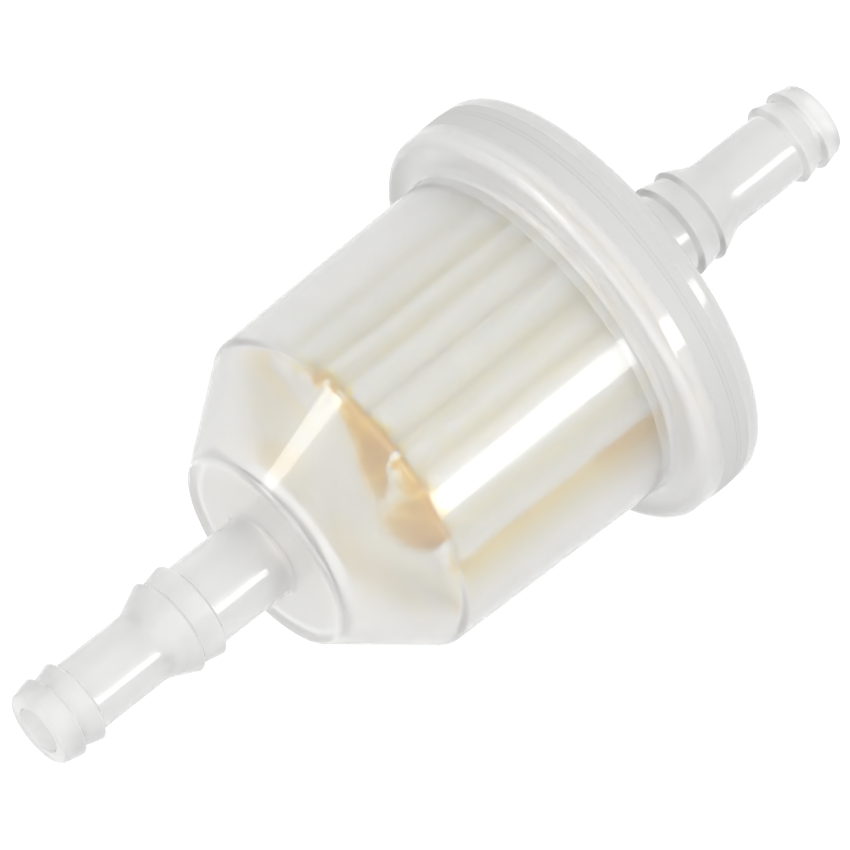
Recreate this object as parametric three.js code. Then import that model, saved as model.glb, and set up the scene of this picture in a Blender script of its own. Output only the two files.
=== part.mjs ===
// In-line fuel filter for small petrol engines: a sealed nylon shell with a pleated paper
// element inside. Millimetres, +Z up. The flow axis is X: the inlet barbs point to -X and the
// outlet barbs to +X, and the origin is the middle of the filter on that axis.

import * as THREE from "three";

// ---- Driving dimensions -------------------------------------------------------------------

const OVERALL_LENGTH = 89; // from one hose end to the other
const INLET_NIPPLE_LENGTH = 25.2; // from its free end to the shell
const OUTLET_NIPPLE_LENGTH = 24.8;
const WALL = 1.5; // moulded wall of the shell
const GAP = 0.3; // between pieces that are bonded face to face
const TURNS = 48; // facets around the shell

// The shell, from the inlet to the outlet.
const SHOULDER_RADIUS = 9.4; // the inlet's flat shoulder, where the cone starts
const CONE_LENGTH = 8.7;
const CORNER_RADIUS = 15.8; // where the cone turns into the barrel
const BARREL_END_RADIUS = 16.4; // the barrel's draft widens it to this at the flange
const FLANGE_RADIUS = 19.8;
const FLANGE_WIDTH = 7.0; // both flange halves together

// Each nipple has small barbs for a 1/4 in hose and large barbs for a 5/16 in hose.
const BORE_RADIUS = 2.2;
const TIP_RADIUS = 3.45;
const SMALL_BARB_RADIUS = 3.88;
const SMALL_DIP_RADIUS = 3.35;
const NECK_RADIUS = 3.28;
const LARGE_BARB_RADIUS = 4.5;
const LARGE_DIP_RADIUS = 4.08;
const ROOT_RADIUS = 3.89;
const BARB_STEP = 0.35; // axial length of the face behind a barb

// Distances along a nipple, from its free end.
const SMALL_BARBS_AT = [1.95, 4.1];
const NECK_END = 11.9;
const LARGE_BARBS_AT = [14.6, 17.0];

// The welded joint between the flange halves.
const WELD_AT = 4.0; // from the front of the flange to the middle of the weld
const WELD_THICKNESS = 0.4;
const WELD_DEPTH = 1.0;
const TONGUE_RADII = [17.1, 18.1]; // the ring on the cap that locates it in the housing
const TONGUE_LENGTH = 1.8;

// The pleated element.
const PLEAT_COUNT = 20;
const PAPER_OUTER_RADIUS = 13.9;
const PAPER_INNER_RADIUS = 7.2;
const PAPER_THICKNESS = 0.6;
const SEAL_THICKNESS = 1.2;
const SEAL_CHAMFER = 0.9; // keeps the closed end clear of the cone
const COLLAR_RADII = [4.6, 6.0]; // the cap's collar, which centres the element
const COLLAR_LENGTH = 3.5;
const SEAM_RADII = [9.4, 13.0];
const SEAM_THICKNESS = 0.5;

// ---- Places worked out from them ----------------------------------------------------------

const END_X = OVERALL_LENGTH / 2;
const SHOULDER_X = INLET_NIPPLE_LENGTH - END_X;
const CORNER_X = SHOULDER_X + CONE_LENGTH;
const BARREL_INNER_RADIUS = CORNER_RADIUS - WALL;

const FLANGE_BACK_X = END_X - OUTLET_NIPPLE_LENGTH;
const FLANGE_FRONT_X = FLANGE_BACK_X - FLANGE_WIDTH;
const WELD_START_X = FLANGE_FRONT_X + WELD_AT - WELD_THICKNESS / 2;
const WELD_END_X = WELD_START_X + WELD_THICKNESS;
const HOUSING_BACK_X = WELD_START_X - GAP;
const CAP_FRONT_X = WELD_END_X + GAP;

const CLOSED_SEAL_X = CORNER_X - 0.2;
const PAPER_START_X = CLOSED_SEAL_X + SEAL_THICKNESS + GAP;
const OPEN_SEAL_X = CAP_FRONT_X - GAP - SEAL_THICKNESS;
const PAPER_END_X = OPEN_SEAL_X - GAP;

// ---- Shape helpers ------------------------------------------------------------------------

// Turns corners of [x, radius] or [x, radius, fillet] into an outline: fillets become arcs.
function roundCorners(corners) {
  const outline = [];
  corners.forEach(([x, radius, fillet], index) => {
    const corner = new THREE.Vector2(x, radius);
    if (!fillet) {
      outline.push(corner);
      return;
    }
    const last = corners.at(index - 1);
    const next = corners.at((index + 1) % corners.length);
    const before = new THREE.Vector2(last[0], last[1]).sub(corner).normalize();
    const after = new THREE.Vector2(next[0], next[1]).sub(corner).normalize();
    const halfAngle = before.angleTo(after) / 2;
    const reach = fillet / Math.tan(halfAngle);
    const start = corner.clone().addScaledVector(before, reach);
    const end = corner.clone().addScaledVector(after, reach);
    const inwards = before.clone().add(after).normalize();
    const centre = corner.clone().addScaledVector(inwards, fillet / Math.sin(halfAngle));
    const startAngle = start.sub(centre).angle();
    let sweep = end.sub(centre).angle() - startAngle;
    sweep -= 2 * Math.PI * Math.round(sweep / (2 * Math.PI));
    const steps = fillet < 0.6 ? 2 : 4;
    for (let step = 0; step <= steps; step += 1) {
      const angle = startAngle + (sweep * step) / steps;
      outline.push(new THREE.Vector2(Math.cos(angle), Math.sin(angle)).multiplyScalar(fillet).add(centre));
    }
  });
  return outline;
}

// A ring turned about the X axis. Its corners run along the outside from -X to +X, and then
// back along the inside.
function turnedRing(corners) {
  const profile = roundCorners(corners).map((point) => new THREE.Vector2(point.y, point.x));
  profile.push(profile[0].clone());
  return new THREE.LatheGeometry(profile, TURNS).rotateZ(-Math.PI / 2);
}

// One barb: its sharp crest, which the ramp before it leads to, and the foot of its back face.
function barb(at, crestRadius, footRadius) {
  return [
    [at, crestRadius, 0.12],
    [at + BARB_STEP, footRadius],
  ];
}

// The outside of a barbed nipple as [distance from the free end, radius] corners.
function nippleOutside() {
  return [
    [0, TIP_RADIUS, 0.45],
    ...barb(SMALL_BARBS_AT[0], SMALL_BARB_RADIUS, SMALL_DIP_RADIUS),
    ...barb(SMALL_BARBS_AT[1], SMALL_BARB_RADIUS, NECK_RADIUS),
    [NECK_END, NECK_RADIUS],
    ...barb(LARGE_BARBS_AT[0], LARGE_BARB_RADIUS, LARGE_DIP_RADIUS),
    ...barb(LARGE_BARBS_AT[1], LARGE_BARB_RADIUS, ROOT_RADIUS),
  ];
}

// ---- Materials ----------------------------------------------------------------------------

function milkyNylon() {
  const look = { color: 0xe6e7e2, roughness: 0.25, metalness: 0, opacity: 0.75, transparent: true };
  return new THREE.MeshStandardMaterial(look);
}

function filterPaper() {
  return new THREE.MeshStandardMaterial({ color: 0xe9dcbb, roughness: 0.9, metalness: 0 });
}

function amberAdhesive() {
  return new THREE.MeshStandardMaterial({ color: 0xb98b45, roughness: 0.4, metalness: 0 });
}

function piece(name, geometry, material) {
  const mesh = new THREE.Mesh(geometry, material);
  mesh.name = name;
  return mesh;
}

// ---- The shell ----------------------------------------------------------------------------

// The inlet nipple, shoulder, cone, barrel and front half of the flange, in one moulding.
// A groove in its open end takes the cap's tongue.
function inletHousing() {
  const nipple = nippleOutside().map(([along, ...rest]) => [along - END_X, ...rest]);
  const slope = (CORNER_RADIUS - SHOULDER_RADIUS) / CONE_LENGTH;
  const innerCornerX = CORNER_X + WALL * Math.tan(Math.atan(slope) / 2);
  const innerShoulderX = SHOULDER_X + WALL;
  const innerShoulderRadius = BARREL_INNER_RADIUS - (innerCornerX - innerShoulderX) * slope;
  const [tongueInside, tongueOutside] = TONGUE_RADII;
  const grooveEndX = CAP_FRONT_X - TONGUE_LENGTH - GAP;
  const corners = [
    ...nipple,
    [SHOULDER_X, ROOT_RADIUS, 0.5],
    [SHOULDER_X, SHOULDER_RADIUS, 1.05],
    [CORNER_X, CORNER_RADIUS, 0.9],
    [FLANGE_FRONT_X, BARREL_END_RADIUS, 0.7],
    [FLANGE_FRONT_X, FLANGE_RADIUS - 0.1, 1.0],
    [HOUSING_BACK_X, FLANGE_RADIUS],
    [HOUSING_BACK_X, tongueOutside + GAP],
    [grooveEndX, tongueOutside + GAP],
    [grooveEndX, tongueInside - GAP],
    [HOUSING_BACK_X, tongueInside - GAP],
    [HOUSING_BACK_X, BARREL_INNER_RADIUS + GAP],
    [innerCornerX, BARREL_INNER_RADIUS],
    [innerShoulderX, innerShoulderRadius, 0.8],
    [innerShoulderX, BORE_RADIUS, 0.3],
    [-END_X, BORE_RADIUS],
  ];
  return piece("inlet_housing", turnedRing(corners), milkyNylon());
}

// The back half of the flange and the outlet nipple, in one moulding. Inside it are the
// tongue that fits the housing's groove and the collar that centres the element.
function outletCap() {
  const nipple = nippleOutside().map(([along, ...rest]) => [END_X - along, ...rest]);
  const [tongueInside, tongueOutside] = TONGUE_RADII;
  const [collarInside, collarOutside] = COLLAR_RADII;
  const corners = [
    [CAP_FRONT_X, FLANGE_RADIUS],
    [FLANGE_BACK_X, FLANGE_RADIUS - 0.15, 1.1],
    [FLANGE_BACK_X, ROOT_RADIUS, 0.3],
    ...nipple.reverse(),
    [END_X, BORE_RADIUS],
    [CAP_FRONT_X, BORE_RADIUS, 0.3],
    [CAP_FRONT_X, collarInside],
    [CAP_FRONT_X - COLLAR_LENGTH, collarInside],
    [CAP_FRONT_X - COLLAR_LENGTH, collarOutside],
    [CAP_FRONT_X, collarOutside],
    [CAP_FRONT_X, tongueInside],
    [CAP_FRONT_X - TONGUE_LENGTH, tongueInside],
    [CAP_FRONT_X - TONGUE_LENGTH, tongueOutside],
    [CAP_FRONT_X, tongueOutside],
  ];
  return piece("outlet_cap", turnedRing(corners), milkyNylon());
}

// The bead of remelted nylon that joins the two flange halves at their rims.
function weldRing() {
  const corners = [
    [WELD_START_X, FLANGE_RADIUS],
    [WELD_END_X, FLANGE_RADIUS],
    [WELD_END_X, FLANGE_RADIUS - WELD_DEPTH],
    [WELD_START_X, FLANGE_RADIUS - WELD_DEPTH],
  ];
  return piece("weld_ring", turnedRing(corners), milkyNylon());
}

// ---- The filter element -------------------------------------------------------------------

// The folds of a star, by turns at the outer and the inner radius, starting with a valley at
// angle 0.
function starOutline(outerRadius, innerRadius) {
  const points = [];
  for (let fold = 0; fold < 2 * PLEAT_COUNT; fold += 1) {
    const angle = (Math.PI * fold) / PLEAT_COUNT;
    const radius = fold % 2 === 0 ? innerRadius : outerRadius;
    points.push(new THREE.Vector2(radius * Math.cos(angle), radius * Math.sin(angle)));
  }
  return points;
}

// Filter paper folded into a star, one closed zigzag wall along the flow axis.
function pleatedPaper() {
  const foldThickness = 2 * PAPER_THICKNESS; // across a fold, measured along the radius
  const sheet = new THREE.Shape(starOutline(PAPER_OUTER_RADIUS, PAPER_INNER_RADIUS + PAPER_THICKNESS));
  const inside = starOutline(PAPER_OUTER_RADIUS - foldThickness, PAPER_INNER_RADIUS);
  sheet.holes.push(new THREE.Path(inside));
  const depth = PAPER_END_X - PAPER_START_X;
  const geometry = new THREE.ExtrudeGeometry(sheet, { depth, bevelEnabled: false });
  geometry.rotateY(Math.PI / 2).rotateX(Math.PI / 2).translate(PAPER_START_X, 0, 0);
  return piece("pleated_paper", geometry, filterPaper());
}

// The glued tab that closes the paper's loop. It stands in the valley that faces -Y.
function paperSeam() {
  const [inner, outer] = SEAM_RADII;
  const length = PAPER_END_X - PAPER_START_X;
  const geometry = new THREE.BoxGeometry(length, outer - inner, SEAM_THICKNESS);
  geometry.translate(PAPER_START_X + length / 2, -(inner + outer) / 2, 0);
  return piece("paper_seam", geometry, filterPaper());
}

// The disc of adhesive that closes the pleats at the inlet end, narrower on its inlet side.
function closedEndSeal() {
  const profile = [
    new THREE.Vector2(0, CLOSED_SEAL_X),
    new THREE.Vector2(PAPER_OUTER_RADIUS - SEAL_CHAMFER, CLOSED_SEAL_X),
    new THREE.Vector2(PAPER_OUTER_RADIUS, CLOSED_SEAL_X + SEAL_CHAMFER),
    new THREE.Vector2(PAPER_OUTER_RADIUS, CLOSED_SEAL_X + SEAL_THICKNESS),
    new THREE.Vector2(0, CLOSED_SEAL_X + SEAL_THICKNESS),
  ];
  const geometry = new THREE.LatheGeometry(profile, TURNS).rotateZ(-Math.PI / 2);
  return piece("closed_end_seal", geometry, amberAdhesive());
}

// The ring of adhesive that bonds the pleats to the cap, around its collar.
function openEndSeal() {
  const collarClearance = COLLAR_RADII[1] + GAP;
  const corners = [
    [OPEN_SEAL_X, PAPER_OUTER_RADIUS],
    [OPEN_SEAL_X + SEAL_THICKNESS, PAPER_OUTER_RADIUS],
    [OPEN_SEAL_X + SEAL_THICKNESS, collarClearance],
    [OPEN_SEAL_X, collarClearance],
  ];
  return piece("open_end_seal", turnedRing(corners), amberAdhesive());
}

const fuelFilter = new THREE.Group();
fuelFilter.add(inletHousing(), outletCap(), weldRing());
fuelFilter.add(pleatedPaper(), paperSeam(), closedEndSeal(), openEndSeal());

export default fuelFilter;
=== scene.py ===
"""An in-line fuel filter: a milky nylon shell welded around a pleated paper element.

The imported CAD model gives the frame: its boxes place every piece. Each CAD node is replaced by
a finer piece of the same size, because the CAD solids are faceted. Lengths are in millimetres
here and become metres when a mesh is made. The flow axis is X, from inlet to outlet.
"""
import math
import random

import bmesh
import bpy
from mathutils import Matrix, Vector, noise


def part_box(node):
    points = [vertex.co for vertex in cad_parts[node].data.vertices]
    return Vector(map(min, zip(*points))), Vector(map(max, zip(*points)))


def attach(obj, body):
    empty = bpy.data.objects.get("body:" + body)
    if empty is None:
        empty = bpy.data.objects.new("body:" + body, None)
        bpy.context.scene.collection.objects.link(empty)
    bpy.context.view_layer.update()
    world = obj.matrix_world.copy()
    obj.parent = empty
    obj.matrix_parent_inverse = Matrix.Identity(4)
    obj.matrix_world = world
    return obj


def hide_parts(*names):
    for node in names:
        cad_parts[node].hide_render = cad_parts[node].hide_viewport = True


MM = 0.001

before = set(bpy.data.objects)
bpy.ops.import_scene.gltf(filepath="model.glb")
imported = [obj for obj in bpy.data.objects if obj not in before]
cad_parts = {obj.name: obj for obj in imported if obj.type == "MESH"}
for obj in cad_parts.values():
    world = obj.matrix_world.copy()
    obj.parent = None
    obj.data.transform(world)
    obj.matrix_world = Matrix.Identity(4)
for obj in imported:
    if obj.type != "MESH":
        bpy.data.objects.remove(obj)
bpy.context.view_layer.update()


# ---- Sizes --------------------------------------------------------------------------------

def node_span(node):
    """(lowest corner, highest corner) of a CAD node, in millimetres."""
    low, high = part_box(node)
    return Vector(low) / MM, Vector(high) / MM


housing_low, housing_high = node_span("inlet_housing")
cap_high = node_span("outlet_cap")[1]
weld_low, weld_high = node_span("weld_ring")
paper_low, paper_high = node_span("pleated_paper")
closed_low, closed_high = node_span("closed_end_seal")
open_low, open_high = node_span("open_end_seal")

INLET_END_X = housing_low.x
OUTLET_END_X = cap_high.x
FLANGE_RADIUS = housing_high.z
HOUSING_BACK_X = housing_high.x
PAPER_RADIUS = paper_high.z

# Places along the shell that the boxes don't give.
SHOULDER_X = INLET_END_X + 25.2
CORNER_X = SHOULDER_X + 8.7
FLANGE_BACK_X = OUTLET_END_X - 24.8
FLANGE_FRONT_X = FLANGE_BACK_X - 7.0
WELD_X = (weld_low.x + weld_high.x) / 2
BAND_X = (WELD_X - 1.7, WELD_X + 1.2)  # the matt band that the welding leaves
BAND_MARGIN = 0.5  # the rim is milky this far beyond the band
FLANGE_FILLET = 0.7
MILKY_END_X = FLANGE_FRONT_X - 1.6  # the barrel turns milky just before the flange
SEAT_GAP = 0.01  # between pieces that touch, where the CAD leaves more

# Radii of the shell.
WALL = 1.5
SHOULDER_RADIUS = 9.4
CORNER_RADIUS = 15.8
BARREL_END_RADIUS = 16.4
RIM_DEPTH = 0.3  # what is this close to the flange's radius is on its rim
# How far the rim drops at its front edge, at the band's two edges and at its back edge.
RIM_DROPS = (0.1, 0.05, 0.07, 0.15)
JOINT_FILLET = 0.006  # on the edges that meet at the weld
WELD_DEPTH = 1.0
TONGUE_RADII = (17.1, 18.1)
TONGUE_LENGTH = 1.8
GROOVE_DEPTH = 1.6
GROOVE_CLEARANCE = 0.2
COLLAR_RADII = (4.6, 6.0)
COLLAR_LENGTH = 3.5

# The barbed nipples.
BORE_RADIUS = 2.2
TIP_RADIUS = 3.45
SMALL_BARB_RADIUS = 3.88
SMALL_DIP_RADIUS = 3.35
NECK_RADIUS = 3.28
LARGE_BARB_RADIUS = 4.5
LARGE_DIP_RADIUS = 4.08
ROOT_RADIUS = 3.89
SMALL_BARBS_AT = (1.95, 4.1)
NECK_END = 11.9
LARGE_BARBS_AT = (14.6, 17.0)
BARB_STEP = 0.35
BARB_CREST_FILLET = 0.12
BARB_FOOT_FILLET = 0.06

NOISE_RADIUS = 14  # of the circle that noise is read on, about that of the element

# The pleats. Angles are degrees from the top (+Z) towards the front (-Y).
PLEAT_COUNT = 20
PAPER_SHEET = 0.28
PAPER_SUNK = (0.3, 0.1)  # how far the sheet goes into the closed and the open seal
SEAM_CLOCK = 90
SEAM_FLOOR_RADIUS = 10.6
SEAM_HALF_WIDTH = 12
FOLD_FLOOR_RADIUS = 7.6
SLIT_HALF_WIDTH = 0.2  # below where the legs of a fold meet
MEETING_RADII = (12.4, 13.0)  # the range for where the legs of a fold meet
# The uneven run of folds up to the seam: each valley's angle and half width, and the radius of
# the crest after it.
UNEVEN_FOLDS = (
    (-18, 3.6, 13.6),
    (-6, 3.6, 13.7),
    (8, 4.0, 13.9),
    (23, 5.0, 13.4),
    (37, 4.5, 13.8),
    (62, 6.5, 13.9),
    (SEAM_CLOCK, SEAM_HALF_WIDTH, 13.6),
)
# The other folds are almost even, each value drawn from its range.
EVEN_SHIFTS = (-1.5, 1.5)  # of the valley's angle
EVEN_HALF_WIDTHS = (3.4, 5.0)
EVEN_CRESTS = (13.4, 13.9)
VALLEY_POWER = 2.5  # how abruptly a valley's sides turn into the crests
CREST_ROUNDING = 0.35
CREST_LUMPS = 0.12
CREST_WAVER = 0.9  # degrees that a fold strays from its straight line

# The tab at the seam.
TAB_HALF_THICKNESS = 0.16
TAB_WAVE = 0.35
TAB_FRAY = 0.15

# How far the glue has stained the paper, and the painted shade deep in the folds.
# Painted shade: the paper is tinted yellow deep in the folds, not at all at the first radius and
# fully from the second.
VALLEY_PAINTED_SHADE = 0.42
VALLEY_SHADE_RADII = (13.8, 12.2)  # from no tint to the full tint
DARK_SIDE_START = (-28, -16)
DARK_SIDE_END = (66, 58)
PALE_SIDE_STAIN = 0.12
CLOSED_STAIN = (0.8, 2.2)  # its reach along the sheet, and how uneven that is
OPEN_STAIN_REACH = 0.9
SMEAR_CLOCK = 34
SMEAR_HALF_WIDTH = 4
SMEAR_LENGTH = 1.2
SEAM_STAIN_X = (6.0, 11.5)  # the seam's stain deepens towards the open end
SEAM_STAIN_CLOCK = 96  # it reaches further up the far side of the seam's valley
SEAM_STAIN_EDGE = (20, 14)

# The disc of glue at the closed end.
# Each flap's leading edge, how amber it is and the share of its width where it is fully so.
# The amber deepens across each flap towards the next flap's raised edge: glue, and painted shade
# in the corner where the flap dips under it.
FLAPS = (
    (-5, 1.0, 0.5),
    (25, 1.0, 0.6),
    (62, 0.15, 0.6),
    (98, 0.3, 0.6),
    (135, 0.4, 0.5),
    (170, 0.2, 0.6),
    (208, 0.45, 0.5),
    (245, 0.2, 0.6),
    (283, 0.3, 0.6),
    (322, 0.12, 0.6),
)
FLAP_TWIST = 3.3  # degrees for each mm towards the axis
FLAP_LIFT = 0.7
FLAP_RADII = (3.5, 9.0)  # the flaps rise from the first and are full from the second
FLAP_RUFFLE = 0.12
DISC_INSET = 0.78  # of its face, which leaves room for the flaps
RIM_WIDTH = 0.8  # the disc's edge turns back over this width
RIM_TURN = 0.25
RIM_PRESSED = 0.55  # the share of the flaps' lift that is lost at the rim
RIM_RAGGED = 0.25
AMBER_RADII = (2.0, 9.0)
ROUGH_EDGE = (0.2, 3.5)  # how amber the rim is, and how uneven that is

# The ring of glue at the open end, and the run of glue in the seam's valley.
RING_AMBER = 0.1
RUN_AMBER = (0.7, 0.4)  # at its tip, and how much paler it is at the ring
RUN_TIP_X = 6.5
RUN_HALF_WIDTH = 15
RUN_TIP_SHARES = (0.25, 0.4)  # its height and width at the tip, of those at the ring
RUN_DEPTH = 0.3  # how far it goes down between the legs of the paper
RUN_HOLLOW = 0.5
RUN_LUMPS = 0.15

# How finely the pieces are divided.
TURNS = 240  # facets around a turned piece
PLEAT_STATIONS = 48
POINTS_PER_FOLD = 28
TAB_STEPS, TAB_ROWS = 60, 6
DISC_RINGS, DISC_RIM_RINGS = 30, 3
POINTS_PER_FLAP = 22
RUN_STEPS, RUN_COLUMNS = 26, 16


# ---- Turned pieces ------------------------------------------------------------------------

SHARP_FILLET = 0.04  # on a corner that names none
STRAIGHT = math.radians(89.5)  # a corner's half angle, from which it isn't rounded
LONG_RUN = 0.5
RUN_INSET = 0.12


def rounded_outline(corners):
    """Turns closed corners of (x, radius) or (x, radius, fillet) into points, fillets as arcs.

    A long straight stretch gets a point close to each end, so that smooth shading stays flat.
    """
    arcs = []
    count = len(corners)
    for i, corner in enumerate(corners):
        here = Vector(corner[:2])
        fillet = corner[2] if len(corner) > 2 else SHARP_FILLET
        before = (Vector(corners[i - 1][:2]) - here).normalized()
        after = (Vector(corners[(i + 1) % count][:2]) - here).normalized()
        half = before.angle(after) / 2
        if half > STRAIGHT:
            arcs.append([here])
            continue
        centre = here + (before + after).normalized() * fillet / math.sin(half)
        start = here + before * fillet / math.tan(half) - centre
        sweep = start.angle_signed(here + after * fillet / math.tan(half) - centre)
        steps_per_radian = 3 + 5 * fillet
        steps = max(3, round(abs(sweep) * steps_per_radian))
        arc = []
        for step in range(steps + 1):
            turn = -sweep * step / steps
            x = start.x * math.cos(turn) - start.y * math.sin(turn)
            y = start.x * math.sin(turn) + start.y * math.cos(turn)
            arc.append(centre + Vector((x, y)))
        arcs.append(arc)
    outline = []
    for i, arc in enumerate(arcs):
        outline += arc
        end = arc[-1]
        run = arcs[(i + 1) % count][0] - end
        if run.length > LONG_RUN:
            inset = min(RUN_INSET, run.length / 4) / run.length
            outline += [end + run * inset, end + run * (1 - inset)]
    return outline


def turned_shape(corners):
    """(vertices, faces) of a shape turned about the X axis from corners in millimetres."""
    outline = rounded_outline(corners)
    verts, faces = [], []
    for step in range(TURNS):
        angle = 2 * math.pi * step / TURNS
        for point in outline:
            y = point.y * math.sin(angle)
            z = point.y * math.cos(angle)
            verts.append((point.x * MM, y * MM, z * MM))
    count = len(outline)
    for step in range(TURNS):
        here, there = step * count, (step + 1) % TURNS * count
        for i in range(count):
            j = (i + 1) % count
            faces.append((here + i, there + i, there + j, here + j))
    return verts, faces


def turned_piece(name, corners):
    """A mesh object turned about the X axis."""
    verts, faces = turned_shape(corners)
    return mesh_object(name, verts, faces)


def mesh_object(name, verts, faces, smooth=True):
    """A linked mesh object with every face turned outwards."""
    mesh = bpy.data.meshes.new(name)
    mesh.from_pydata(verts, [], faces)
    shape = bmesh.new()
    shape.from_mesh(mesh)
    bmesh.ops.recalc_face_normals(shape, faces=shape.faces)
    shape.to_mesh(mesh)
    shape.free()
    mesh.polygons.foreach_set("use_smooth", [smooth] * len(faces))
    mesh.update()
    piece = bpy.data.objects.new(name, mesh)
    bpy.context.scene.collection.objects.link(piece)
    return piece


def place(piece, node, material):
    """The piece stands for a CAD node, rides on the one body and takes its material."""
    piece.data.materials.append(material)
    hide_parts(node)
    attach(piece, "root")


# ---- Shell --------------------------------------------------------------------------------

def barb(at, crest_radius, foot_radius):
    """A barb's crest, which the ramp before it leads to, and the foot of its back face."""
    return [
        (at, crest_radius, BARB_CREST_FILLET),
        (at + BARB_STEP, foot_radius, BARB_FOOT_FILLET),
    ]


def nipple_outside():
    """Corners of a barbed nipple as (distance from its free end, radius, fillet)."""
    return [
        (0, TIP_RADIUS, 0.45),
        *barb(SMALL_BARBS_AT[0], SMALL_BARB_RADIUS, SMALL_DIP_RADIUS),
        *barb(SMALL_BARBS_AT[1], SMALL_BARB_RADIUS, NECK_RADIUS),
        (NECK_END, NECK_RADIUS, 2.5),
        *barb(LARGE_BARBS_AT[0], LARGE_BARB_RADIUS, LARGE_DIP_RADIUS),
        *barb(LARGE_BARBS_AT[1], LARGE_BARB_RADIUS, ROOT_RADIUS),
    ]


def finish_shell(piece, node):
    """Gives the shell its nylon: the thicker it is, the milkier, and matt at the weld.

    The inner walls are smoother than the outer ones. The faces hidden in the joint stay thin.
    """
    place(piece, node, thin_nylon)
    thin, tube, thick, matt, inner = range(5)
    for material in (tube_nylon, thick_nylon, matt_nylon, inner_nylon):
        piece.data.materials.append(material)
    for polygon in piece.data.polygons:
        x = polygon.center.x / MM
        radius = math.hypot(polygon.center.y, polygon.center.z) / MM
        if x < SHOULDER_X + WALL or x > FLANGE_BACK_X:
            polygon.material_index = tube
        elif BAND_X[0] - BAND_MARGIN < x < BAND_X[1] + BAND_MARGIN:
            on_band = BAND_X[0] < x < BAND_X[1]
            on_rim = radius > FLANGE_RADIUS - RIM_DEPTH
            polygon.material_index = (matt if on_band else thick) if on_rim else thin
        elif radius > CORNER_RADIUS and x > MILKY_END_X:
            on_flange = x > FLANGE_FRONT_X - FLANGE_FILLET
            polygon.material_index = thick if on_flange else tube
        else:
            faces_axis = polygon.normal.yz.dot(polygon.center.yz) < 0
            polygon.material_index = inner if faces_axis else thin


def make_housing():
    """The inlet nipple, shoulder, cone, barrel and front half of the flange, with its groove."""
    barrel_inside = CORNER_RADIUS - WALL
    slope = (CORNER_RADIUS - SHOULDER_RADIUS) / (CORNER_X - SHOULDER_X)
    corner_inside_x = CORNER_X + WALL * math.tan(math.atan(slope) / 2)
    shoulder_inside_x = SHOULDER_X + WALL
    shoulder_inside = barrel_inside - (corner_inside_x - shoulder_inside_x) * slope
    back_x = weld_low.x - SEAT_GAP
    groove_x = HOUSING_BACK_X - GROOVE_DEPTH
    groove_top = TONGUE_RADII[1] + GROOVE_CLEARANCE
    groove_bottom = TONGUE_RADII[0] - GROOVE_CLEARANCE
    corners = [
        *[(INLET_END_X + along, *rest) for along, *rest in nipple_outside()],
        (SHOULDER_X, ROOT_RADIUS, 0.5),
        (SHOULDER_X, SHOULDER_RADIUS, 0.8),
        (CORNER_X, CORNER_RADIUS, 0.9),
        (MILKY_END_X, BARREL_END_RADIUS - 0.04),
        (FLANGE_FRONT_X, BARREL_END_RADIUS, FLANGE_FILLET),
        (FLANGE_FRONT_X, FLANGE_RADIUS - RIM_DROPS[0], 1.0),
        (BAND_X[0], FLANGE_RADIUS - RIM_DROPS[1]),
        (back_x, FLANGE_RADIUS, JOINT_FILLET),
        (back_x, groove_top),
        (groove_x, groove_top),
        (groove_x, groove_bottom),
        (back_x, groove_bottom),
        (back_x, barrel_inside + 0.3),
        (corner_inside_x, barrel_inside, 0.5),
        (shoulder_inside_x, shoulder_inside, 1.8),
        (shoulder_inside_x, BORE_RADIUS, 0.3),
        (INLET_END_X, BORE_RADIUS, 0.15),
    ]
    finish_shell(turned_piece("housing_shell", corners), "inlet_housing")


def make_cap():
    """The back half of the flange and the outlet nipple, with the collar and tongue inside."""
    front_x = weld_high.x + SEAT_GAP
    corners = [
        (front_x, FLANGE_RADIUS, JOINT_FILLET),
        (BAND_X[1], FLANGE_RADIUS - RIM_DROPS[2]),
        (FLANGE_BACK_X, FLANGE_RADIUS - RIM_DROPS[3], 1.1),
        (FLANGE_BACK_X, ROOT_RADIUS, 0.3),
        *[(OUTLET_END_X - along, *rest) for along, *rest in reversed(nipple_outside())],
        (OUTLET_END_X, BORE_RADIUS, 0.15),
        (front_x, BORE_RADIUS, 0.3),
        (front_x, COLLAR_RADII[0]),
        (front_x - COLLAR_LENGTH, COLLAR_RADII[0], 0.2),
        (front_x - COLLAR_LENGTH, COLLAR_RADII[1], 0.2),
        (front_x, COLLAR_RADII[1]),
        (front_x, TONGUE_RADII[0]),
        (front_x - TONGUE_LENGTH, TONGUE_RADII[0], 0.2),
        (front_x - TONGUE_LENGTH, TONGUE_RADII[1], 0.2),
        (front_x, TONGUE_RADII[1]),
    ]
    finish_shell(turned_piece("cap_shell", corners), "outlet_cap")


def make_weld():
    """The bead that joins the two halves of the flange."""
    corners = [
        (weld_low.x, FLANGE_RADIUS, JOINT_FILLET),
        (weld_high.x, FLANGE_RADIUS, JOINT_FILLET),
        (weld_high.x, FLANGE_RADIUS - WELD_DEPTH),
        (weld_low.x, FLANGE_RADIUS - WELD_DEPTH),
    ]
    place(turned_piece("weld_bead", corners), "weld_ring", matt_nylon)


# ---- Element ------------------------------------------------------------------------------

def smooth_step(low, high, value):
    """0 up to low, 1 from high on and an easy curve between them; low may be above high."""
    share = min(max((value - low) / (high - low), 0.0), 1.0)
    return share * share * (3 - 2 * share)


def around(x, radius, clock):
    """A point in metres, at an angle in degrees from the top (+Z) towards the front (-Y)."""
    angle = math.radians(clock)
    return (x * MM, -radius * math.sin(angle) * MM, radius * math.cos(angle) * MM)


def lumps(x, clock, fine, shift=0.0):
    """Noise that closes on itself round the axis."""
    angle = math.radians(clock)
    y = math.sin(angle) * NOISE_RADIUS * fine
    z = math.cos(angle) * NOISE_RADIUS * fine
    return noise.noise(Vector((x * fine, y, z + shift)))


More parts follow.
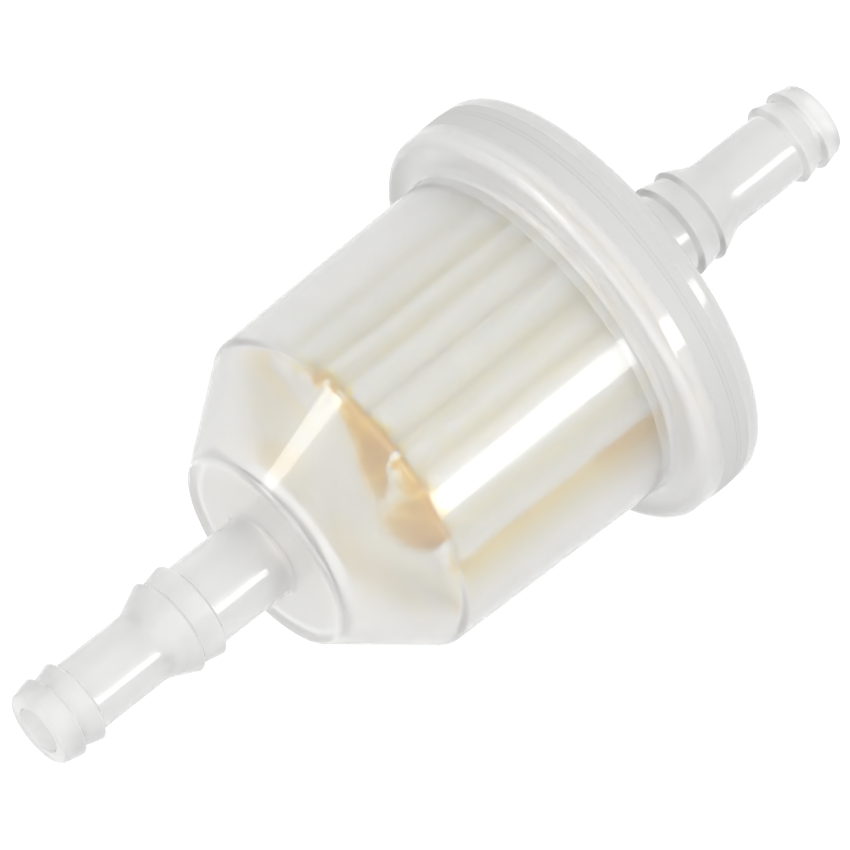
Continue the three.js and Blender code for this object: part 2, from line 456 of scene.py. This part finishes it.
def tube_faces(rings, count, first=0):
    """The faces between rings of count vertices each; the rings follow each other from first."""
    faces = []
    for k in range(rings - 1):
        here = first + k * count
        there = here + count
        for i in range(count):
            j = (i + 1) % count
            faces.append((here + i, there + i, there + j, here + j))
    return faces


def add_amber(piece, values):
    """How deep the amber is at each vertex, for the material."""
    layer = piece.data.attributes.new("amber", "FLOAT", "POINT")
    layer.data.foreach_set("value", values)


def fold_list():
    """Each fold as (valley angle, radius where its legs meet, its half width, crest after it)."""
    rng = random.Random(11)
    folds = []
    for clock, half_width, crest in UNEVEN_FOLDS:
        floor = SEAM_FLOOR_RADIUS if clock == SEAM_CLOCK else rng.uniform(*MEETING_RADII)
        folds.append((clock, floor, half_width, crest))
    even = PLEAT_COUNT - len(UNEVEN_FOLDS)
    first, last = UNEVEN_FOLDS[0][0] + 360, SEAM_CLOCK
    for i in range(even):
        clock = last + (first - last) * (i + 1) / (even + 1) + rng.uniform(*EVEN_SHIFTS)
        floor = rng.uniform(*MEETING_RADII)
        half_width = rng.uniform(*EVEN_HALF_WIDTHS)
        crest = rng.uniform(*EVEN_CRESTS)
        folds.append((clock, floor, half_width, crest))
    return folds


def stain_strength(clock):
    """The glue at the closed end is darkest on one side of the element."""
    turn = (clock + 180) % 360 - 180
    dark_side = smooth_step(*DARK_SIDE_START, turn) * smooth_step(*DARK_SIDE_END, turn)
    return max(dark_side, PALE_SIDE_STAIN + 0.5 * lumps(0, clock, 0.12))


def paper_stain(x, clock):
    """Where glue has soaked the paper: at both ends, with a smear, and in the seam's valley."""
    reach = max(CLOSED_STAIN[0] + CLOSED_STAIN[1] * lumps(0, clock, 0.7), 0.1)
    closed_end = smooth_step(paper_low.x + reach, paper_low.x - 0.2, x) * stain_strength(clock)
    smear = SMEAR_LENGTH * math.exp(-((clock - SMEAR_CLOCK) / SMEAR_HALF_WIDTH) ** 2)
    open_end = smooth_step(paper_high.x - OPEN_STAIN_REACH, paper_high.x - 0.1, x + smear)
    seam = smooth_step(*SEAM_STAIN_EDGE, abs(clock - SEAM_STAIN_CLOCK))
    seam *= 0.5 + 0.5 * smooth_step(*SEAM_STAIN_X, x)
    return max(closed_end, open_end, seam)


def make_pleats(material):
    """The paper star: broad crests almost at the wall, with narrow uneven valleys between."""
    folds = fold_list()
    start, end = paper_low.x - PAPER_SUNK[0], paper_high.x + PAPER_SUNK[1]
    verts, amber = [], []
    for k in range(PLEAT_STATIONS + 1):
        x = start + (end - start) * k / PLEAT_STATIONS
        for i, (clock, floor, half_width, crest) in enumerate(folds):
            after_clock, after_floor, after_width, _ = folds[(i + 1) % len(folds)]
            if after_clock < clock:
                after_clock += 360
            for j in range(POINTS_PER_FOLD):
                share = (1 - math.cos(math.pi * j / POINTS_PER_FOLD)) / 2
                here = clock + (after_clock - clock) * share
                top = crest - CREST_ROUNDING * (2 * share - 1) ** 2
                top += CREST_LUMPS * lumps(x, here, 0.35)
                radius = top
                for distance, meeting, width in (
                        (here - clock, floor, half_width),
                        (after_clock - here, after_floor, after_width),
                ):
                    dip = math.exp(-abs(distance / width) ** VALLEY_POWER)
                    slit = math.exp(-(distance / SLIT_HALF_WIDTH) ** 2)
                    radius -= (top - meeting) * dip + (meeting - FOLD_FLOOR_RADIUS) * slit
                verts.append(around(x, radius, here + CREST_WAVER * lumps(x, here, 0.12, 5.0)))
                # Painted shade: the deeper the paper lies in a fold, the yellower it is painted.
                tint = VALLEY_PAINTED_SHADE * smooth_step(*VALLEY_SHADE_RADII, radius)
                amber.append(max(paper_stain(x, here), tint))
    faces = tube_faces(PLEAT_STATIONS + 1, len(folds) * POINTS_PER_FOLD)
    sheet = mesh_object("pleated_sheet", verts, faces)
    add_amber(sheet, amber)
    thick = sheet.modifiers.new("thickness", "SOLIDIFY")
    thick.thickness = PAPER_SHEET * MM
    thick.offset = 0
    place(sheet, "pleated_paper", material)


def make_seam(material):
    """The glued edge of the sheet, standing up in the widest valley."""
    low, high = node_span("paper_seam")
    verts, amber = [], []
    for k in range(TAB_STEPS + 1):
        x = low.x + (high.x - low.x) * k / TAB_STEPS
        for side in (-1, 1):
            for row in range(TAB_ROWS + 1):
                share = (row if side == -1 else TAB_ROWS - row) / TAB_ROWS
                fray = TAB_FRAY * noise.noise(Vector((x * 0.5, side, 0)))
                wave = TAB_WAVE * noise.noise(Vector((x * 0.25, share * 2, 3.0)))
                y = low.y + (high.y - low.y) * share + fray
                z = wave + side * TAB_HALF_THICKNESS
                verts.append((x * MM, y * MM, z * MM))
                amber.append(paper_stain(x, SEAM_CLOCK))
    ring = 2 * (TAB_ROWS + 1)
    last = TAB_STEPS * ring
    faces = tube_faces(TAB_STEPS + 1, ring)
    faces += [tuple(range(ring)), tuple(reversed(range(last, last + ring)))]
    tab = mesh_object("seam_tab", verts, faces)
    add_amber(tab, amber)
    place(tab, "paper_seam", material)


def make_closed_seal(material):
    """The glue disc at the inlet side: flaps like petals, each tucked under the next one."""
    rim_radius = closed_high.z
    face_x, back_x = closed_low.x + DISC_INSET, closed_high.x
    verts, amber = [], []

    def add_ring(share, backward):
        """One ring of the disc; backward is how far along the rim it is, towards the paper."""
        radius = rim_radius * share
        for i, (clock, strength, full_at) in enumerate(FLAPS):
            after = FLAPS[(i + 1) % len(FLAPS)][0]
            span = after - clock if after > clock else after - clock + 360
            for j in range(POINTS_PER_FLAP + 1):
                along = j / POINTS_PER_FLAP
                here = clock + span * along + FLAP_TWIST * (rim_radius - radius)
                # The flap stands up most at its leading edge, and lies flat near the axis.
                lift = (1 - along) ** 0.9 * smooth_step(*FLAP_RADII, radius) - 0.1 * along ** 4
                ruffle = FLAP_RUFFLE * lumps(0, here, 0.5, radius * 0.4)
                edge = smooth_step(rim_radius - RIM_WIDTH, rim_radius, radius)
                lift *= 1 - RIM_PRESSED * edge
                x = face_x - FLAP_LIFT * lift + ruffle + RIM_TURN * edge
                x += (back_x - x) * backward
                ragged = RIM_RAGGED * share ** 8 * (1 + lumps(x, here, 0.9))
                verts.append(around(x, radius - ragged + 0.1 * backward, here))
                # Glue's amber, deepest where the flap dips under the next one's raised edge;
                # there it is painted shade as well.
                depth = strength * smooth_step(-0.1, full_at, along)
                depth *= smooth_step(*AMBER_RADII, radius) * (0.9 + 0.5 * lumps(0, here, 0.5))
                rough_edge = smooth_step(0.95, 1.0, share) * stain_strength(here)
                rough_edge *= ROUGH_EDGE[0] + ROUGH_EDGE[1] * lumps(backward, here, 0.8)
                amber.append(min(max(depth, rough_edge, 0), 1))

    for k in range(DISC_RINGS):
        add_ring(((k + 1) / DISC_RINGS) ** 0.8, 0.0)
    for k in range(DISC_RIM_RINGS):
        add_ring(1.0, (k + 1) / DISC_RIM_RINGS)
    ring = len(FLAPS) * (POINTS_PER_FLAP + 1)
    total = DISC_RINGS + DISC_RIM_RINGS
    faces = tube_faces(total, ring)
    front, back = len(verts), len(verts) + 1
    verts += [(face_x * MM, 0, 0), (back_x * MM, 0, 0)]
    amber += [0.0, 0.0]
    last = (total - 1) * ring
    for i in range(ring):
        j = (i + 1) % ring
        faces += [(front, i, j), (back, last + j, last + i)]
    disc = mesh_object("closed_end_glue", verts, faces)
    add_amber(disc, amber)
    place(disc, "closed_end_seal", material)


def make_open_seal(material):
    """The glue ring at the outlet side, with the glue that crept along the seam's valley."""
    verts, faces = turned_shape([
        (open_low.x, PAPER_RADIUS, 0.3),
        (open_high.x, PAPER_RADIUS, 0.3),
        (open_high.x, COLLAR_RADII[1] + 0.1),
        (open_low.x, COLLAR_RADII[1] + 0.1),
    ])
    amber = [RING_AMBER] * len(verts)
    first = len(verts)
    run_end_x = open_low.x + 0.2
    run_top = PAPER_RADIUS - 0.1
    tip_height, tip_width = RUN_TIP_SHARES
    for k in range(RUN_STEPS + 1):
        share = k / RUN_STEPS
        x = RUN_TIP_X + (run_end_x - RUN_TIP_X) * share
        height = (run_top - SEAM_FLOOR_RADIUS) * (tip_height + (1 - tip_height) * share)
        half_width = RUN_HALF_WIDTH * (tip_width + (1 - tip_width) * share ** 0.5)
        for on_top in (True, False):
            for j in range(RUN_COLUMNS + 1):
                across = 2 * (j if on_top else RUN_COLUMNS - j) / RUN_COLUMNS - 1
                clock = SEAM_CLOCK + half_width * across
                radius = SEAM_FLOOR_RADIUS - RUN_DEPTH
                if on_top:
                    hollow = RUN_HOLLOW * (1 - across ** 2) * share
                    radius = SEAM_FLOOR_RADIUS + height - hollow
                    radius += RUN_LUMPS * lumps(x, clock, 0.5)
                verts.append(around(x, radius, clock))
                amber.append(RUN_AMBER[0] - RUN_AMBER[1] * share ** 2)
    loop = 2 * (RUN_COLUMNS + 1)
    last = first + RUN_STEPS * loop
    faces += tube_faces(RUN_STEPS + 1, loop, first)
    faces += [tuple(range(first, first + loop)), tuple(reversed(range(last, last + loop)))]
    glue = mesh_object("open_end_glue", verts, faces)
    add_amber(glue, amber)
    place(glue, "open_end_seal", material)


# ---- Materials ----------------------------------------------------------------------------

FIBRE_COLOURS = ((0.92, 0.88, 0.73), (0.97, 0.94, 0.82))
# The colours for each depth of amber, from glue stains and from the painted shade in the folds:
# the paper's are multiplied by its fibres.
PAPER_STAINS_AND_SHADE = (
    (0.05, (1, 1, 1)),
    (0.3, (0.99, 0.90, 0.76)),
    (0.5, (0.97, 0.84, 0.52)),
    (0.8, (0.88, 0.62, 0.2)),
)
GLUE_COLOURS = (
    (0.05, (0.81, 0.80, 0.74)),
    (0.3, (0.84, 0.71, 0.40)),
    (0.6, (0.76, 0.46, 0.02)),
    (0.95, (0.62, 0.32, 0.0)),
)


def new_material(name):
    """(material, its nodes, its links, its shader)"""
    material = bpy.data.materials.new(name)
    material.use_nodes = True
    nodes = material.node_tree.nodes
    return material, nodes, material.node_tree.links, nodes["Principled BSDF"]


def nylon_material(name, white, clearness, roughness, coat=1.0):
    """Natural nylon: some light goes through, blurred, and the rest comes back as a veil."""
    material, nodes, links, shader = new_material(name)
    shader.inputs["Base Color"].default_value = (white, white, white - 0.005, 1)
    shader.inputs["Roughness"].default_value = roughness
    shader.inputs["IOR"].default_value = 1.5
    shader.inputs["Transmission Weight"].default_value = clearness
    shader.inputs["Coat Weight"].default_value = coat
    shader.inputs["Coat Roughness"].default_value = 0.06
    flow = noise_texture(nodes, links, 160, 3)
    add_bump(nodes, links, shader, flow, 0.05, 0.0005)
    return material


def amber_ramp(nodes, links, cloud, spread, stops):
    """A colour ramp driven by the piece's amber attribute, its edges broken up by noise."""
    attribute = nodes.new("ShaderNodeAttribute")
    attribute.attribute_name = "amber"
    centred = nodes.new("ShaderNodeMath")
    centred.operation = "SUBTRACT"
    centred.inputs[1].default_value = 0.5
    links.new(cloud.outputs["Fac"], centred.inputs[0])
    broken = nodes.new("ShaderNodeMath")
    broken.operation = "MULTIPLY_ADD"
    broken.inputs[1].default_value = spread
    links.new(centred.outputs[0], broken.inputs[0])
    links.new(attribute.outputs["Fac"], broken.inputs[2])
    ramp = nodes.new("ShaderNodeValToRGB")
    ramp.color_ramp.elements.remove(ramp.color_ramp.elements[1])
    ramp.color_ramp.elements[0].position = stops[0][0]
    ramp.color_ramp.elements[0].color = (*stops[0][1], 1)
    for position, colour in stops[1:]:
        ramp.color_ramp.elements.new(position).color = (*colour, 1)
    links.new(broken.outputs[0], ramp.inputs["Fac"])
    return ramp


def noise_texture(nodes, links, scale, detail):
    """Noise that is fixed to the piece."""
    coordinates = nodes.new("ShaderNodeTexCoord")
    texture = nodes.new("ShaderNodeTexNoise")
    texture.inputs["Scale"].default_value = scale
    texture.inputs["Detail"].default_value = detail
    links.new(coordinates.outputs["Object"], texture.inputs["Vector"])
    return texture


def add_bump(nodes, links, shader, texture, strength, distance):
    """Roughens the shader's surface with a texture."""
    bump = nodes.new("ShaderNodeBump")
    bump.inputs["Strength"].default_value = strength
    bump.inputs["Distance"].default_value = distance
    links.new(texture.outputs["Fac"], bump.inputs["Height"])
    links.new(bump.outputs["Normal"], shader.inputs["Normal"])


def paper_material():
    """Cream filter paper with a fibrous grain, amber where the glue soaked in and yellowed deep
    in the folds as painted shade.
    """
    material, nodes, links, shader = new_material("filter_paper")
    shader.inputs["Roughness"].default_value = 0.9
    shader.inputs["Subsurface Weight"].default_value = 0.8
    shader.inputs["Subsurface Radius"].default_value = (1.0, 0.9, 0.6)
    shader.inputs["Subsurface Scale"].default_value = MM
    fibre = noise_texture(nodes, links, 2200, 5)
    tint = nodes.new("ShaderNodeValToRGB")
    tint.color_ramp.elements[0].position = 0.3
    tint.color_ramp.elements[0].color = (*FIBRE_COLOURS[0], 1)
    tint.color_ramp.elements[1].position = 0.7
    tint.color_ramp.elements[1].color = (*FIBRE_COLOURS[1], 1)
    links.new(fibre.outputs["Fac"], tint.inputs["Fac"])
    cloud = noise_texture(nodes, links, 900, 4)
    # The ramp colours both the glue stains and the painted shade deep in the folds.
    stain_and_shade = amber_ramp(nodes, links, cloud, 0.5, PAPER_STAINS_AND_SHADE)
    soaked = nodes.new("ShaderNodeMix")
    soaked.data_type = "RGBA"
    soaked.blend_type = "MULTIPLY"
    soaked.inputs[0].default_value = 1.0
    links.new(tint.outputs["Color"], soaked.inputs[6])
    links.new(stain_and_shade.outputs["Color"], soaked.inputs[7])
    links.new(soaked.outputs[2], shader.inputs["Base Color"])
    add_bump(nodes, links, shader, fibre, 0.5, 0.0001)
    return material


def adhesive_material():
    """Hot-melt glue: cream where it is thick and clean, amber where it is thin or soaked in, and
    amber as painted shade where the flaps dip under each other.
    """
    material, nodes, links, shader = new_material("amber_adhesive")
    shader.inputs["Roughness"].default_value = 0.45
    shader.inputs["Specular IOR Level"].default_value = 0.2
    cloud = noise_texture(nodes, links, 700, 4)
    colour = amber_ramp(nodes, links, cloud, 0.35, GLUE_COLOURS)
    links.new(colour.outputs["Color"], shader.inputs["Base Color"])
    add_bump(nodes, links, shader, cloud, 0.4, 0.0002)
    return material


def floor_material():
    """Glows a little, so that the floor is as pale as the world around it."""
    material, _, _, shader = new_material("pale_floor")
    shader.inputs["Base Color"].default_value = (0.25, 0.25, 0.25, 1)
    shader.inputs["Roughness"].default_value = 1.0
    shader.inputs["Emission Color"].default_value = (1, 1, 1, 1)
    shader.inputs["Emission Strength"].default_value = 0.8
    return material


# ---- Stage --------------------------------------------------------------------------------

AZIMUTH, ELEVATION = math.radians(-42.9), math.radians(58.2)
CAMERA_DISTANCE = 0.95
AIM = Vector((-0.00083, 0, 0))
LENS = 479
SENSOR_WIDTH = 36
FLOOR_REACH = 3.0

# Each lamp's shares to the right, up and towards the camera, and its brightness.
SOFTBOX_RIGHT = (0.83, -0.09, 0.55, 5.5)
SOFTBOX_LEFT = (-0.79, 0.155, 0.60, 3.8)
FILLS = {
    "fill_front": (0.0, 0.0, 1.0, 1.7),
    "fill_inlet": (-0.7, -0.6, 0.3, 1.0),
    "fill_low": (0.15, -0.8, 0.6, 0.9),
    "fill_high": (-0.4, 0.7, 0.6, 0.8),
}
SOFTBOX_WIDTHS = (0.19, 0.17)
SOFTBOX_HEIGHT = 0.5
FILL_WIDTH = 0.8


def camera_axes():
    """Unit vectors to the right, up and towards the camera."""
    towards = Vector((
        math.sin(AZIMUTH) * math.cos(ELEVATION),
        -math.cos(AZIMUTH) * math.cos(ELEVATION),
        math.sin(ELEVATION),
    ))
    right = Vector((math.cos(AZIMUTH), math.sin(AZIMUTH), 0))
    return right, towards.cross(right), towards


def make_camera():
    """A camera with a long lens, aimed at the middle of the filter."""
    data = bpy.data.cameras.new("camera")
    data.lens = LENS
    data.sensor_width = SENSOR_WIDTH
    data.clip_start = 0.01
    data.clip_end = 20
    camera = bpy.data.objects.new("camera", data)
    bpy.context.scene.collection.objects.link(camera)
    towards = camera_axes()[2]
    camera.location = AIM + towards * CAMERA_DISTANCE
    camera.rotation_euler = towards.to_track_quat("Z", "Y").to_euler()
    bpy.context.scene.camera = camera


def make_softbox(name, aim_and_brightness, width, height):
    """A soft box 1 m away, which the camera doesn't see."""
    side, rise, front, brightness = aim_and_brightness
    data = bpy.data.lights.new(name, "AREA")
    data.shape = "RECTANGLE"
    data.size = width
    data.size_y = height
    data.energy = brightness * math.pi * width * height
    right, up, towards = camera_axes()
    direction = (right * side + up * rise + towards * front).normalized()
    across = up.cross(direction).normalized()
    lamp = bpy.data.objects.new(name, data)
    lamp.matrix_world = Matrix((across, direction.cross(across), direction)).transposed().to_4x4()
    lamp.location = AIM + direction
    lamp.visible_camera = False
    bpy.context.scene.collection.objects.link(lamp)
    return lamp


def make_floor():
    """A plain pale floor that the flange rests on."""
    low = -FLANGE_RADIUS * MM
    sides = ((-1, -1), (1, -1), (1, 1), (-1, 1))
    corners = [(x * FLOOR_REACH, y * FLOOR_REACH, low) for x, y in sides]
    floor = mesh_object("floor", corners, [(0, 1, 2, 3)], smooth=False)
    floor.data.materials.append(floor_material())
    # The camera sees the floor, but the object is lit evenly from every side, as in a light tent.
    floor.visible_diffuse = False
    floor.visible_glossy = False
    floor.visible_transmission = False
    floor.visible_shadow = False


def make_lights():
    """A white light tent with two narrow soft boxes, for the streaks, and soft fills."""
    world = bpy.data.worlds.new("studio")
    world.use_nodes = True
    background = world.node_tree.nodes["Background"]
    background.inputs["Color"].default_value = (1, 1, 1, 1)
    background.inputs["Strength"].default_value = 1.0
    bpy.context.scene.world = world
    make_softbox("softbox_right", SOFTBOX_RIGHT, SOFTBOX_WIDTHS[0], SOFTBOX_HEIGHT)
    make_softbox("softbox_left", SOFTBOX_LEFT, SOFTBOX_WIDTHS[1], SOFTBOX_HEIGHT)
    # The soft fill lights the milky walls without drawing reflections on them.
    for name, aim_and_brightness in FILLS.items():
        fill = make_softbox(name, aim_and_brightness, FILL_WIDTH, FILL_WIDTH)
        fill.visible_glossy = False
    bpy.context.scene.view_settings.view_transform = "Standard"
    # Light is reflected many times inside the walls before it leaves them.
    bpy.context.scene.cycles.max_bounces = 32
    bpy.context.scene.cycles.diffuse_bounces = 12
    bpy.context.scene.cycles.glossy_bounces = 16
    bpy.context.scene.cycles.transmission_bounces = 24


# ---- The scene ----------------------------------------------------------------------------

make_camera()
make_floor()
make_lights()
thin_nylon = nylon_material("milky_nylon", 0.99, clearness=0.92, roughness=0.3)
inner_nylon = nylon_material("milky_nylon_inner", 0.99, clearness=0.94, roughness=0.15, coat=0.0)
tube_nylon = nylon_material("milky_nylon_tube", 0.89, clearness=0.75, roughness=0.3)
thick_nylon = nylon_material("milky_nylon_thick", 0.98, clearness=0.65, roughness=0.35)
matt_nylon = nylon_material("milky_nylon_matt", 0.51, clearness=0.15, roughness=0.5, coat=0.0)
paper = paper_material()
adhesive = adhesive_material()
make_housing()
make_cap()
make_weld()
make_pleats(paper)
make_seam(paper)
make_closed_seal(adhesive)
make_open_seal(adhesive)
